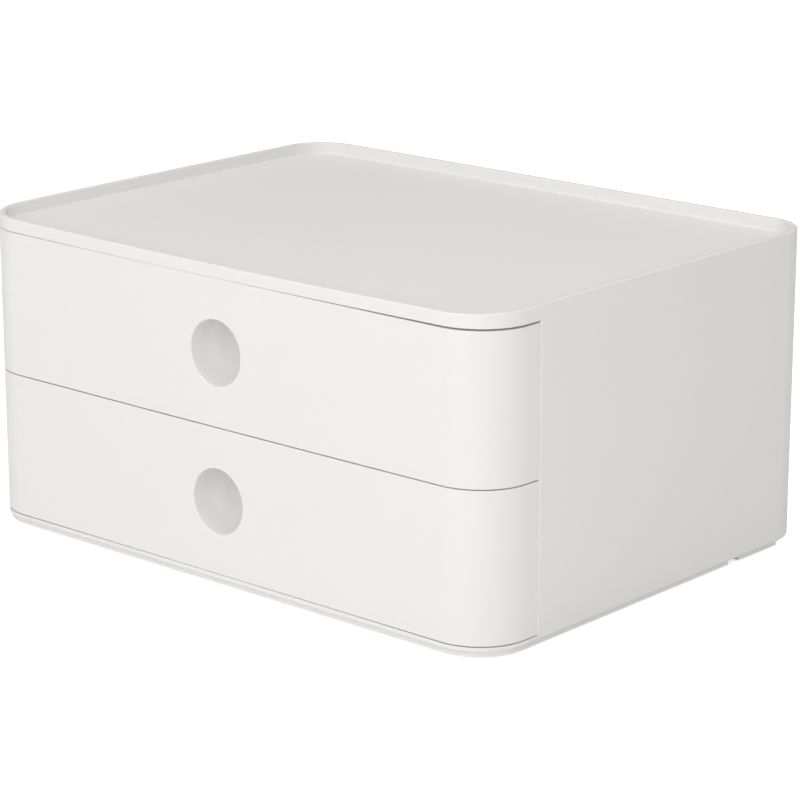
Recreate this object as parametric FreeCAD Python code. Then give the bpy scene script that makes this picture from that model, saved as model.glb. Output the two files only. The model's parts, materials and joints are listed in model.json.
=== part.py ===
import FreeCAD, Part
import os

# Desk file box with two drawers. Millimetres, +Z up. The origin is on the table under the middle of
# the box: X runs along the width, the drawers open towards -Y.

# ---------------------------------------------------------------- driving dimensions
BODY_WIDTH = 260.0
BODY_DEPTH = 195.0
BODY_HEIGHT = 125.0
FRONT_CORNER_RADIUS = 21.0
REAR_CORNER_RADIUS = 19.0

SHELL_WALL = 2.4
SHELL_EDGE_ROUND = 1.3          # top outer edge of the raised rim
SHELL_LOWER_ROUND = 0.5         # bottom outer edge of the walls
OPENING_EDGE_ROUND = 0.6        # edges of the front opening
RIM_WIDTH = 2.4
RIM_HEIGHT = 4.8                # from the top tray's floor to the rim's top
RIM_FOOT_RADIUS = 1.0           # cove between rim and top tray
RIM_INNER_ROUND = 0.7
ROOF_THICKNESS = 2.4
HEADER_HEIGHT = 5.8             # band of the shell above the upper drawer front

FOOT_PROJECTION = 1.0           # rubber feet below the base plate
PLINTH_HEIGHT = 1.8             # base plate below the shell's walls
SILL_THICKNESS = 1.7            # shell's floor ring under the lower drawer front
FLOOR_RING_WIDTH = 14.0
PLINTH_SIDE_INSET = 0.9
PLINTH_FRONT_INSET = 0.9
PLINTH_REAR_INSET = 1.5
PLINTH_BAND = 18.0
PLINTH_REAR_CHAMFER = 18.0
NOTCH_LENGTH = 6.7
NOTCH_DEPTH = 7.0
NOTCH_FROM_REAR = 44.0          # rear face of the shell to the notch's near end
NOTCH_ROUND = 0.9
BASE_GAP = 0.2                  # base plate inside the shell's floor ring
HOOK_LENGTH = 12.0
HOOK_THICKNESS = 1.6
HOOK_REACH = 1.0
HOOK_HEIGHT = 1.1

FRONT_THICKNESS = 2.4
FRONT_WRAP = 27.8               # how far a drawer front reaches back along the sides
FRONT_EDGE_ROUND = 0.5
REVEAL_SIDE = 0.25
REVEAL_BOTTOM = 0.4
REVEAL_MIDDLE = 0.4
REVEAL_TOP = 0.6
HEADER_SHADOW_GAP = 0.4         # drawer front's inner face to the lip behind the header

CUP_RADIUS = 12.6
CUP_DEPTH = 13.0
CUP_WALL = 1.8
CUP_FLOOR_RADIUS = 5.0
CUP_LIP_ROUND = 0.8
CUP_CLEARANCE = 0.6             # back of the cup to the tray

TRAY_WALL = 2.0
TRAY_FLOOR = 2.0
TRAY_LIFT = 2.0                 # tray's underside above the lower edge of its front
TRAY_HEIGHT = 49.0
TRAY_CORNER_RADIUS = 6.0
TRAY_FLOOR_RADIUS = 3.0
TRAY_RUNNER_GAP = 0.8           # tray wall to the tips of the runner ledges
TRAY_WING_GAP = 0.2             # tray's front wall inside the sides of the drawer front
FLANGE_DROP = 9.0               # tray's top edge to the top of its running flange
FLANGE_THICKNESS = 3.0
FLANGE_FRONT_SETBACK = 2.0

RUNNER_WEB = 1.8
RUNNER_LEDGE = 2.0
RUNNER_REACH = 7.2              # wall to the tips of the ledges
RUNNER_FRONT_SETBACK = 2.0      # wall's front edge to the runner's front end
RUNNER_REAR_GAP = 0.5           # runner's rear end to the start of the rear corner
RUNNING_GAP = 0.3               # flange to the lower ledge
FLANGE_SIDE_GAP = 0.6           # flange to the runner's web
RUNNER_RIB_HEIGHT = 1.6
RUNNER_RIB_REACH = 1.4
RUNNER_RIB_GAP = 0.1

DRAWER_TRAVEL = 120.0
STOP_LENGTH = 10.0
STOP_FRONT_SETBACK = 2.0        # runner's front end to the stop
STOP_HEIGHT = 2.9
STOP_GAP = 0.3
STOP_PEG_RADIUS = 1.5
STOP_SIDE_GAP = 0.4
LUG_LENGTH = 8.0
LUG_HEIGHT = 2.6
LUG_FLANGE_GAP = 0.4            # flange under the stop

SPACER_RIB = 2.0
SPACER_SIDE_INSET = 34.0        # outermost rib to the side of the box
SPACER_PITCH = 48.0
SPACER_HEIGHT = 40.0
CATCH_WIDTH = 8.0
CATCH_THICKNESS = 1.8
CATCH_REACH = 1.2
CATCH_NOSE = 2.4
CATCH_GAP = 0.2

BUFFER_RADIUS = 4.0
BUFFER_THICKNESS = 3.0
BUFFER_PEG_RADIUS = 1.8
BUFFER_PEG_LENGTH = 1.2
BUFFER_GAP = 0.15
BUFFER_SIDE_INSET = 35.0        # centre of a buffer to the side of the box

FOOT_RADIUS = 7.0
FOOT_SOCKET_WALL = 2.5
FOOT_SOCKET_GAP = 0.05
FOOT_CHAMFER = 0.4
FOOT_SIDE_INSET = 30.0          # centre of a foot to the side of the box
FOOT_END_INSET = 27.5           # centre of a foot to the front or the rear

# ---------------------------------------------------------------- derived levels and planes
HALF_WIDTH = BODY_WIDTH / 2
HALF_DEPTH = BODY_DEPTH / 2
FRONT_PLANE = -HALF_DEPTH
REAR_PLANE = HALF_DEPTH
BASE_BOTTOM = FOOT_PROJECTION
SHELL_BOTTOM = BASE_BOTTOM + PLINTH_HEIGHT
SILL_TOP = SHELL_BOTTOM + SILL_THICKNESS
HEADER_BOTTOM = BODY_HEIGHT - HEADER_HEIGHT
TRAY_TOP_FLOOR = BODY_HEIGHT - RIM_HEIGHT
ROOF_BOTTOM = TRAY_TOP_FLOOR - ROOF_THICKNESS
FRONT_HEIGHT = (HEADER_BOTTOM - SILL_TOP - REVEAL_BOTTOM - REVEAL_MIDDLE - REVEAL_TOP) / 2
DRAWER_BOTTOMS = {
    "lower": SILL_TOP + REVEAL_BOTTOM,
    "upper": SILL_TOP + REVEAL_BOTTOM + FRONT_HEIGHT + REVEAL_MIDDLE,
}
FRONT_RETURN_END = FRONT_PLANE + FRONT_WRAP
WALL_FRONT = FRONT_RETURN_END + REVEAL_SIDE
INNER_HALF_WIDTH = HALF_WIDTH - SHELL_WALL
INNER_REAR = REAR_PLANE - SHELL_WALL
FRONT_INNER = FRONT_PLANE + FRONT_THICKNESS
CUP_BACK = FRONT_PLANE + CUP_DEPTH + CUP_WALL
TRAY_FRONT = CUP_BACK + CUP_CLEARANCE
TRAY_REAR = INNER_REAR - BUFFER_THICKNESS - BUFFER_GAP
RUNNER_TIP = INNER_HALF_WIDTH - RUNNER_REACH
RUNNER_WEB_FACE = INNER_HALF_WIDTH - RUNNER_WEB
TRAY_HALF_WIDTH = RUNNER_TIP - TRAY_RUNNER_GAP
RUNNER_FRONT = WALL_FRONT + RUNNER_FRONT_SETBACK
RUNNER_REAR = REAR_PLANE - REAR_CORNER_RADIUS - RUNNER_REAR_GAP
SLOT_HEIGHT = RUNNING_GAP + FLANGE_THICKNESS + LUG_FLANGE_GAP + STOP_HEIGHT
STOP_FRONT = RUNNER_FRONT + STOP_FRONT_SETBACK
STOP_REAR = STOP_FRONT + STOP_LENGTH
LUG_FRONT = STOP_REAR + DRAWER_TRAVEL + STOP_GAP
SPACER_OUTER = HALF_WIDTH - SPACER_SIDE_INSET
SPACER_INNER = SPACER_OUTER - SPACER_PITCH
SPACER_POSITIONS = (-SPACER_OUTER, -SPACER_INNER, SPACER_INNER, SPACER_OUTER)
OVERSHOOT = 1.0                 # how far cutting tools run past a face

SIDES = {"left": -1, "right": 1}
LEVELS = ("upper", "lower")
FOOT_NAMES = ("front_left", "front_right", "rear_left", "rear_right")


# ---------------------------------------------------------------- small helpers
def box(x_range, y_range, z_range):
    """Block between two limits on each axis, given in either order."""
    (x0, x1), (y0, y1), (z0, z1) = sorted(x_range), sorted(y_range), sorted(z_range)
    return Part.makeBox(x1 - x0, y1 - y0, z1 - z0, FreeCAD.Vector(x0, y0, z0))


def rounded_prism(half_width, front, rear, front_radius, rear_radius, bottom, top):
    """Upright prism: a rectangle in plan with one radius on its front corners, one on its rear ones."""
    block = box((-half_width, half_width), (front, rear), (bottom, top))
    for y, radius in ((front, front_radius), (rear, rear_radius)):
        corners = [edge for edge in block.Edges
                   if edge.BoundBox.ZLength > (top - bottom) / 2
                   and abs(edge.BoundBox.Center.y - y) < 0.01
                   and edge.BoundBox.XLength < 0.01]
        block = block.makeFillet(radius, corners)
    return block


def body_prism(inset, bottom, top):
    """The box's own plan outline, moved inwards by the inset, between two heights."""
    return rounded_prism(HALF_WIDTH - inset, FRONT_PLANE + inset, REAR_PLANE - inset,
                         FRONT_CORNER_RADIUS - inset, REAR_CORNER_RADIUS - inset, bottom, top)


def edges_at_height(shape, height):
    """Every edge that lies flat at the given height."""
    return [edge for edge in shape.Edges
            if edge.BoundBox.ZLength < 0.01 and abs(edge.BoundBox.Center.z - height) < 0.01]


def edges_at_depth(shape, depth):
    """Every edge that lies in one plane across Y."""
    return [edge for edge in shape.Edges
            if edge.BoundBox.YLength < 0.01 and abs(edge.BoundBox.Center.y - depth) < 0.01]


def cylinder_y(radius, y0, y1, x, z):
    """Cylinder along Y between two planes."""
    return Part.makeCylinder(radius, y1 - y0, FreeCAD.Vector(x, y0, z), FreeCAD.Vector(0, 1, 0))


def cylinder_z(radius, z0, z1, x, y):
    """Upright cylinder between two heights."""
    return Part.makeCylinder(radius, z1 - z0, FreeCAD.Vector(x, y, z0))


def mirrored(shape, side):
    """A piece drawn on the right-hand side, put on the wanted side of the box."""
    if side > 0:
        return shape
    return shape.mirror(FreeCAD.Vector(0, 0, 0), FreeCAD.Vector(1, 0, 0))


def save(node, shape):
    """Write one named piece."""
    solid = shape.removeSplitter()
    if not solid.isValid() or len(solid.Solids) != 1:
        raise ValueError(f"{node}: {len(solid.Solids)} solids, valid {solid.isValid()}")
    solid.Solids[0].exportStep(f"parts/{node}.step")


# ---------------------------------------------------------------- heights that belong to a drawer
def flange_bottom(level):
    """Underside of a tray's running flange."""
    return DRAWER_BOTTOMS[level] + TRAY_LIFT + TRAY_HEIGHT - FLANGE_DROP - FLANGE_THICKNESS


def ledge_top(level):
    """Running face of a drawer's lower runner ledge."""
    return flange_bottom(level) - RUNNING_GAP


def buffer_height(level):
    """Centre height of a drawer's rear buffers."""
    return DRAWER_BOTTOMS[level] + TRAY_LIFT + TRAY_HEIGHT / 2


# ---------------------------------------------------------------- housing
def make_shell():
    """One moulding: top tray with its rim, side walls, rear wall, header, sill and floor ring."""
    shell = body_prism(0, SHELL_BOTTOM, BODY_HEIGHT)
    shell = shell.makeFillet(SHELL_EDGE_ROUND, edges_at_height(shell, BODY_HEIGHT))
    shell = shell.makeFillet(SHELL_LOWER_ROUND, edges_at_height(shell, SHELL_BOTTOM))

    top_tray = body_prism(RIM_WIDTH, TRAY_TOP_FLOOR, BODY_HEIGHT + OVERSHOOT)
    top_tray = top_tray.makeFillet(RIM_FOOT_RADIUS, edges_at_height(top_tray, TRAY_TOP_FLOOR))
    shell = shell.cut(top_tray)
    inner_rim = [edge for edge in edges_at_height(shell, BODY_HEIGHT)
                 if edge.BoundBox.XMax < HALF_WIDTH - RIM_WIDTH + 0.01
                 and edge.BoundBox.XMin > RIM_WIDTH - HALF_WIDTH - 0.01
                 and edge.BoundBox.YMax < HALF_DEPTH - RIM_WIDTH + 0.01
                 and edge.BoundBox.YMin > RIM_WIDTH - HALF_DEPTH - 0.01]
    shell = shell.makeFillet(RIM_INNER_ROUND, inner_rim)

    bay = body_prism(SHELL_WALL, SILL_TOP, ROOF_BOTTOM)
    bay_mouth = box((-INNER_HALF_WIDTH, INNER_HALF_WIDTH), (FRONT_PLANE - OVERSHOOT, WALL_FRONT),
                    (SILL_TOP, ROOF_BOTTOM))
    shell = shell.cut(bay).cut(bay_mouth)
    shell = shell.cut(make_front_recess())
    shell = shell.makeFillet(OPENING_EDGE_ROUND, [edge for edge in shell.Edges if is_opening_edge(edge)])
    floor_opening = body_prism(FLOOR_RING_WIDTH, SHELL_BOTTOM - OVERSHOOT, SILL_TOP + OVERSHOOT)
    shell = shell.cut(floor_opening)

    for level in LEVELS:
        for side in SIDES.values():
            shell = shell.fuse(make_runner_seat(level, side))
            shell = shell.cut(make_buffer_recess(level, side))
    return shell


def make_front_recess():
    """Room for the two wrap-round drawer fronts: everything outside the bay, ahead of the side walls."""
    slab = box((-HALF_WIDTH - OVERSHOOT, HALF_WIDTH + OVERSHOOT), (FRONT_PLANE - OVERSHOOT, WALL_FRONT),
               (SILL_TOP, HEADER_BOTTOM))
    core = body_prism(FRONT_THICKNESS + HEADER_SHADOW_GAP, SILL_TOP - OVERSHOOT, HEADER_BOTTOM + OVERSHOOT)
    below_roof = box((-HALF_WIDTH, HALF_WIDTH), (FRONT_PLANE, REAR_PLANE), (SILL_TOP, ROOF_BOTTOM))
    return slab.cut(core.cut(below_roof))


def is_opening_edge(edge):
    """Outer edges of the front opening: under the header, over the sill and down the side walls."""
    limits = edge.BoundBox
    flat = limits.ZLength < 0.01 and min(abs(limits.ZMin - SILL_TOP), abs(limits.ZMin - HEADER_BOTTOM)) < 0.01
    on_side = max(abs(limits.XMin), abs(limits.XMax)) > HALF_WIDTH - 0.01
    on_front = limits.YMin < FRONT_PLANE + 0.01
    upright = limits.ZLength > 1 and abs(limits.YMax - WALL_FRONT) < 0.01 and limits.YLength < 0.01
    crosses_wall = limits.YLength < 0.01 and limits.YMin > WALL_FRONT - 0.01
    return (on_side or on_front) and (upright or (flat and not crosses_wall))


def make_runner_seat(level, side):
    """Two ribs on the inside of a side wall that grip a runner's web from above and below."""
    lower_top = ledge_top(level) - RUNNER_LEDGE - RUNNER_RIB_GAP
    upper_bottom = ledge_top(level) + SLOT_HEIGHT + RUNNER_LEDGE + RUNNER_RIB_GAP
    x_range = (INNER_HALF_WIDTH - RUNNER_RIB_REACH, INNER_HALF_WIDTH + SHELL_WALL / 2)
    y_range = (RUNNER_FRONT, RUNNER_REAR)
    lower = box(x_range, y_range, (lower_top - RUNNER_RIB_HEIGHT, lower_top))
    upper = box(x_range, y_range, (upper_bottom, upper_bottom + RUNNER_RIB_HEIGHT))
    return mirrored(Part.makeCompound([lower, upper]), side)


def make_buffer_recess(level, side):
    """Blind hole in the rear wall for a buffer's peg."""
    return cylinder_y(BUFFER_PEG_RADIUS, INNER_REAR - OVERSHOOT, INNER_REAR + BUFFER_PEG_LENGTH,
                      side * (HALF_WIDTH - BUFFER_SIDE_INSET), buffer_height(level))


def make_base_plate():
    """Closes the shell from below: a raised pan inside the floor ring and a plinth band under it."""
    pan_inset = FLOOR_RING_WIDTH + BASE_GAP
    pan = body_prism(pan_inset, SHELL_BOTTOM, SILL_TOP)
    plinth = rounded_prism(HALF_WIDTH - PLINTH_SIDE_INSET, FRONT_PLANE + PLINTH_FRONT_INSET,
                           REAR_PLANE - PLINTH_REAR_INSET, FRONT_CORNER_RADIUS - PLINTH_FRONT_INSET,
                           REAR_CORNER_RADIUS - PLINTH_REAR_INSET, BASE_BOTTOM, SHELL_BOTTOM)
    plinth = plinth.cut(body_prism(PLINTH_BAND, BASE_BOTTOM - OVERSHOOT, SHELL_BOTTOM + OVERSHOOT))
    for side in SIDES.values():
        plinth = plinth.cut(mirrored(make_plinth_chamfer(), side))
        plinth = plinth.cut(mirrored(make_plinth_notch(), side))
    plate = pan.fuse(plinth)
    socket_radius = FOOT_RADIUS + FOOT_SOCKET_GAP
    for x, y in foot_positions():
        plate = plate.fuse(cylinder_z(socket_radius + FOOT_SOCKET_WALL, BASE_BOTTOM, SHELL_BOTTOM, x, y))
        plate = plate.cut(cylinder_z(socket_radius, BASE_BOTTOM - OVERSHOOT, SHELL_BOTTOM, x, y))
    for hook in make_base_hooks():
        plate = plate.fuse(hook)
    return plate


def make_plinth_chamfer():
    """Upright slanting cut that takes the right rear corner off the plinth."""
    x = HALF_WIDTH - PLINTH_SIDE_INSET
    y = REAR_PLANE - REAR_CORNER_RADIUS
    reach = PLINTH_REAR_CHAMFER
    points = [FreeCAD.Vector(x + OVERSHOOT, y - OVERSHOOT, BASE_BOTTOM - OVERSHOOT),
              FreeCAD.Vector(x - reach, y + reach, BASE_BOTTOM - OVERSHOOT),
              FreeCAD.Vector(x + OVERSHOOT, y + reach, BASE_BOTTOM - OVERSHOOT)]
    outline = Part.makePolygon(points + points[:1])
    return Part.Face(outline).extrude(FreeCAD.Vector(0, 0, PLINTH_HEIGHT + 2 * OVERSHOOT))


def make_plinth_notch():
    """Finger notch through the right side band of the plinth, rounded at its upper corners."""
    rear = REAR_PLANE - NOTCH_FROM_REAR
    outer = HALF_WIDTH - PLINTH_SIDE_INSET
    notch = box((outer - NOTCH_DEPTH, outer + OVERSHOOT), (rear - NOTCH_LENGTH, rear),
                (BASE_BOTTOM - OVERSHOOT, SHELL_BOTTOM))
    upper = [edge for edge in edges_at_height(notch, SHELL_BOTTOM) if edge.BoundBox.YLength < 0.01]
    return notch.makeFillet(NOTCH_ROUND, upper)


def make_base_hooks():
    """Snap hooks on the pan's rim that reach over the shell's floor ring."""
    top = SILL_TOP + HOOK_HEIGHT
    side_edge = HALF_WIDTH - FLOOR_RING_WIDTH
    front_edge = FRONT_PLANE + FLOOR_RING_WIDTH
    rear_edge = REAR_PLANE - FLOOR_RING_WIDTH
    hooks = []
    for side in SIDES.values():
        for y in (-BODY_DEPTH / 5, BODY_DEPTH / 5):
            hooks.append(mirrored(box((side_edge - BASE_GAP - HOOK_THICKNESS, side_edge + HOOK_REACH),
                                      (y - HOOK_LENGTH / 2, y + HOOK_LENGTH / 2), (SILL_TOP, top)), side))
        x = side * BODY_WIDTH / 5
        hooks.append(box((x - HOOK_LENGTH / 2, x + HOOK_LENGTH / 2),
                         (front_edge - HOOK_REACH, front_edge + BASE_GAP + HOOK_THICKNESS), (SILL_TOP, top)))
        hooks.append(box((x - HOOK_LENGTH / 2, x + HOOK_LENGTH / 2),
                         (rear_edge - BASE_GAP - HOOK_THICKNESS, rear_edge + HOOK_REACH), (SILL_TOP, top)))
    return hooks


def foot_positions():
    """Centres of the four feet in plan."""
    return [(x * (HALF_WIDTH - FOOT_SIDE_INSET), y * (HALF_DEPTH - FOOT_END_INSET))
            for y in (-1, 1) for x in (-1, 1)]


def make_foot(x, y):
    """Rubber pad pressed up into its socket, standing a little proud of the plinth."""
    foot = cylinder_z(FOOT_RADIUS, 0, SHELL_BOTTOM, x, y)
    return foot.makeChamfer(FOOT_CHAMFER, edges_at_height(foot, 0))


# ---------------------------------------------------------------- running gear
def make_runner(level, side):
    """Channel on the side wall: a web with a ledge under and over the tray's flange."""
    bottom = ledge_top(level) - RUNNER_LEDGE
    top = ledge_top(level) + SLOT_HEIGHT + RUNNER_LEDGE
    y_range = (RUNNER_FRONT, RUNNER_REAR)
    runner = box((RUNNER_TIP, INNER_HALF_WIDTH), y_range, (bottom, top))
    runner = runner.cut(box((RUNNER_TIP - OVERSHOOT, RUNNER_WEB_FACE),
                            (RUNNER_FRONT - OVERSHOOT, RUNNER_REAR + OVERSHOOT),
                            (ledge_top(level), ledge_top(level) + SLOT_HEIGHT)))
    runner = runner.cut(cylinder_z(STOP_PEG_RADIUS, ledge_top(level), top + OVERSHOOT, *stop_centre()))
    return mirrored(runner, side)


def stop_centre():
    """Plan position of a right-hand stop's peg."""
    return ((RUNNER_TIP + RUNNER_WEB_FACE) / 2, (STOP_FRONT + STOP_REAR) / 2)


def make_stop(level, side):
    """Stop pushed up into the runner's mouth: the flange passes under it, the flange's lug can't."""
    slot_top = ledge_top(level) + SLOT_HEIGHT
    block = box((RUNNER_TIP + STOP_SIDE_GAP, RUNNER_WEB_FACE), (STOP_FRONT, STOP_REAR),
                (slot_top - STOP_HEIGHT, slot_top))
    peg = cylinder_z(STOP_PEG_RADIUS, slot_top - STOP_HEIGHT / 2, slot_top + RUNNER_LEDGE, *stop_centre())
    return mirrored(block.fuse(peg), side)


def make_buffer(level, side):
    """Rubber buffer on the rear wall that a closing drawer comes up against."""
    x = side * (HALF_WIDTH - BUFFER_SIDE_INSET)
    z = buffer_height(level)
    face = INNER_REAR - BUFFER_THICKNESS
    pad = cylinder_y(BUFFER_RADIUS, face, INNER_REAR, x, z)
    peg = cylinder_y(BUFFER_PEG_RADIUS, face + BUFFER_THICKNESS / 2, INNER_REAR + BUFFER_PEG_LENGTH, x, z)
    return pad.fuse(peg)


# ---------------------------------------------------------------- drawers
def make_front(level):
    """Drawer front that wraps round both corners, with a blind round finger cup and snap catches."""
    bottom = DRAWER_BOTTOMS[level]
    top = bottom + FRONT_HEIGHT
    middle = (bottom + top) / 2
    front = body_prism(0, bottom, top)
    behind = box((-HALF_WIDTH - OVERSHOOT, HALF_WIDTH + OVERSHOOT),
                 (FRONT_RETURN_END, REAR_PLANE + OVERSHOOT), (bottom - OVERSHOOT, top + OVERSHOOT))
    front = front.cut(behind)
    outer_edges = [edge for edge in front.Edges if is_front_outer_edge(edge, bottom, top)]
    front = front.makeFillet(FRONT_EDGE_ROUND, outer_edges)
    front = front.cut(body_prism(FRONT_THICKNESS, bottom - OVERSHOOT, top + OVERSHOOT))

    cup = cylinder_y(CUP_RADIUS + CUP_WALL, FRONT_PLANE + FRONT_THICKNESS / 2, CUP_BACK, 0, middle)
    cup = cup.makeFillet(CUP_FLOOR_RADIUS + CUP_WALL, edges_at_depth(cup, CUP_BACK))
    hollow = cylinder_y(CUP_RADIUS, FRONT_PLANE - OVERSHOOT, FRONT_PLANE + CUP_DEPTH, 0, middle)
    hollow = hollow.makeFillet(CUP_FLOOR_RADIUS, edges_at_depth(hollow, FRONT_PLANE + CUP_DEPTH))
    front = front.fuse(cup).cut(hollow)
    lip = [edge for edge in edges_at_depth(front, FRONT_PLANE)
           if abs(edge.BoundBox.XLength - 2 * CUP_RADIUS) < 0.01]
    front = front.makeFillet(CUP_LIP_ROUND, lip)

    for x in SPACER_POSITIONS:
        front = front.fuse(make_spacer_rib(x, middle))
    return front


def is_front_outer_edge(edge, bottom, top):
    """Edges that bound the outer skin of a drawer front: its top, its bottom and its rear ends."""
    limits = edge.BoundBox
    flat = limits.ZLength < 0.01 and (abs(limits.ZMin - bottom) < 0.01 or abs(limits.ZMin - top) < 0.01)
    crosses_back = limits.YLength < 0.01 and abs(limits.YMin - FRONT_RETURN_END) < 0.01 and limits.XLength > 1
    upright = limits.ZLength > 1 and abs(limits.YMax - FRONT_RETURN_END) < 0.01
    return (flat and not crosses_back) or upright


def make_spacer_rib(x, middle):
    """Rib from the front's inner face to the tray, ending in a catch that snaps through the tray."""
    z_range = (middle - SPACER_HEIGHT / 2, middle + SPACER_HEIGHT / 2)
    rib = box((x - SPACER_RIB / 2, x + SPACER_RIB / 2),
              (FRONT_INNER - FRONT_THICKNESS / 2, TRAY_FRONT), z_range)
    arm_x = (x - CATCH_WIDTH / 2, x + CATCH_WIDTH / 2)
    arm = box(arm_x, (TRAY_FRONT - CATCH_NOSE, TRAY_FRONT + TRAY_WALL + CATCH_NOSE),
              (middle - CATCH_THICKNESS / 2, middle + CATCH_THICKNESS / 2))
    nose = box(arm_x, (TRAY_FRONT + TRAY_WALL, TRAY_FRONT + TRAY_WALL + CATCH_NOSE),
               (middle, middle + CATCH_THICKNESS / 2 + CATCH_GAP + CATCH_REACH))
    return rib.fuse(arm).fuse(nose)


def make_tray(level):
    """Open tray that hangs on its two flanges, with slots for the catches of the drawer front."""
    bottom = DRAWER_BOTTOMS[level] + TRAY_LIFT
    top = bottom + TRAY_HEIGHT
    middle = DRAWER_BOTTOMS[level] + FRONT_HEIGHT / 2
    tray = rounded_prism(TRAY_HALF_WIDTH, TRAY_FRONT, TRAY_REAR,
                         TRAY_CORNER_RADIUS, TRAY_CORNER_RADIUS, bottom, top)
    wings = box((-HALF_WIDTH, HALF_WIDTH), (TRAY_FRONT, TRAY_FRONT + TRAY_WALL), (bottom, top))
    wings = wings.common(body_prism(FRONT_THICKNESS + TRAY_WING_GAP, bottom, top))
    tray = tray.fuse(wings)
    hollow = rounded_prism(TRAY_HALF_WIDTH - TRAY_WALL, TRAY_FRONT + TRAY_WALL, TRAY_REAR - TRAY_WALL,
                           TRAY_CORNER_RADIUS - TRAY_WALL, TRAY_CORNER_RADIUS - TRAY_WALL,
                           bottom + TRAY_FLOOR, top + OVERSHOOT)
    hollow = hollow.makeFillet(TRAY_FLOOR_RADIUS, edges_at_height(hollow, bottom + TRAY_FLOOR))
    tray = tray.cut(hollow)
    for side in SIDES.values():
        tray = tray.fuse(make_flange(level, side))
    for x in SPACER_POSITIONS:
        slot = box((x - CATCH_WIDTH / 2 - CATCH_GAP, x + CATCH_WIDTH / 2 + CATCH_GAP),
                   (TRAY_FRONT - OVERSHOOT, TRAY_FRONT + TRAY_WALL + OVERSHOOT),
                   (middle - CATCH_THICKNESS / 2 - CATCH_GAP, middle + CATCH_THICKNESS / 2 + CATCH_GAP))
        tray = tray.cut(slot)
    return tray


def make_flange(level, side):
    """Running flange along a tray's side, with the lug that meets the stop when the drawer is out."""
    bottom = flange_bottom(level)
    top = bottom + FLANGE_THICKNESS
    x_range = (TRAY_HALF_WIDTH - TRAY_WALL / 2, RUNNER_WEB_FACE - FLANGE_SIDE_GAP)
    flange = box(x_range, (RUNNER_FRONT + FLANGE_FRONT_SETBACK, RUNNER_REAR), (bottom, top))
    lug = box(x_range, (LUG_FRONT, LUG_FRONT + LUG_LENGTH), (bottom, top + LUG_HEIGHT))
    return mirrored(flange.fuse(lug), side)


# ---------------------------------------------------------------- write every piece
os.makedirs("parts", exist_ok=True)
save("housing_shell", make_shell())
save("base_plate", make_base_plate())
for foot_name, (foot_x, foot_y) in zip(FOOT_NAMES, foot_positions()):
    save(f"{foot_name}_foot", make_foot(foot_x, foot_y))
for level_name in LEVELS:
    save(f"{level_name}_drawer_front", make_front(level_name))
    save(f"{level_name}_drawer_tray", make_tray(level_name))
    for side_name, side_sign in SIDES.items():
        save(f"{level_name}_{side_name}_runner", make_runner(level_name, side_sign))
        save(f"{level_name}_{side_name}_stop", make_stop(level_name, side_sign))
        save(f"{level_name}_{side_name}_buffer", make_buffer(level_name, side_sign))
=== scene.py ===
import json
from math import pi, radians

import bmesh
import bpy
import numpy as np
from bpy.props import FloatProperty, FloatVectorProperty, PointerProperty
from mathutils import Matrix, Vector


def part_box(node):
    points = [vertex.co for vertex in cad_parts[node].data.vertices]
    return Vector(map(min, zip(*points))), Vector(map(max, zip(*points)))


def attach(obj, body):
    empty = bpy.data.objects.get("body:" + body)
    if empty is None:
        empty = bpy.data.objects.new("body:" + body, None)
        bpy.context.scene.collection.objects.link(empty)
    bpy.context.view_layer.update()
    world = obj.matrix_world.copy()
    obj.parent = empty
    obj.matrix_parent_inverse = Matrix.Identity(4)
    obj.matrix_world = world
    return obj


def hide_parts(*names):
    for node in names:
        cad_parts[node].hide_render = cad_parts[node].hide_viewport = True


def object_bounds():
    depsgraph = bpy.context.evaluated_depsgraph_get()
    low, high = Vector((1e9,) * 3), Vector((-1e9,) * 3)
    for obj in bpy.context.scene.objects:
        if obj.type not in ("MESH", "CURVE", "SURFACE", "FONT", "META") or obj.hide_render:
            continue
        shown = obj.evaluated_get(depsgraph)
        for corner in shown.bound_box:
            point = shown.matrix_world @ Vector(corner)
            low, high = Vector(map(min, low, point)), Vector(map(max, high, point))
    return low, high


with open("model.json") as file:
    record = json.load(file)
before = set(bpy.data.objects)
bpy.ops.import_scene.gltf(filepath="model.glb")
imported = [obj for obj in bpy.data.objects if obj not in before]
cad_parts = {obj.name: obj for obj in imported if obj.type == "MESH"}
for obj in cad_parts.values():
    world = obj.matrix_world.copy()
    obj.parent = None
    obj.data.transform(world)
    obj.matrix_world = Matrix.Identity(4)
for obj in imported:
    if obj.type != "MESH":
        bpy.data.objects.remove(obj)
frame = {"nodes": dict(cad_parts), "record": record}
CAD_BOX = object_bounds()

bl_info = {
    "name": "Desk file box with drawers",
    "version": (1, 0, 0),
    "blender": (4, 5, 0),
    "location": "View3D > Sidebar > File Box",
    "description": "Builds the moulded pieces, finishes and studio of a desk file box with two drawers",
    "category": "Object",
}

LEVELS = ("upper", "lower")
SIDES = ("left", "right")
FOOT_NODES = ("front_left_foot", "front_right_foot", "rear_left_foot", "rear_right_foot")
MERGE_DISTANCE = 1e-6
SHARP_ANGLE = radians(40)
RING = 128                      # points round a finger cup; a multiple of 8 puts one on each diagonal
ARC_POINTS = 15                 # points on each corner of the housing's outline
EDGE_STEPS = 6                  # steps round a drawer front's top and bottom edge

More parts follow.
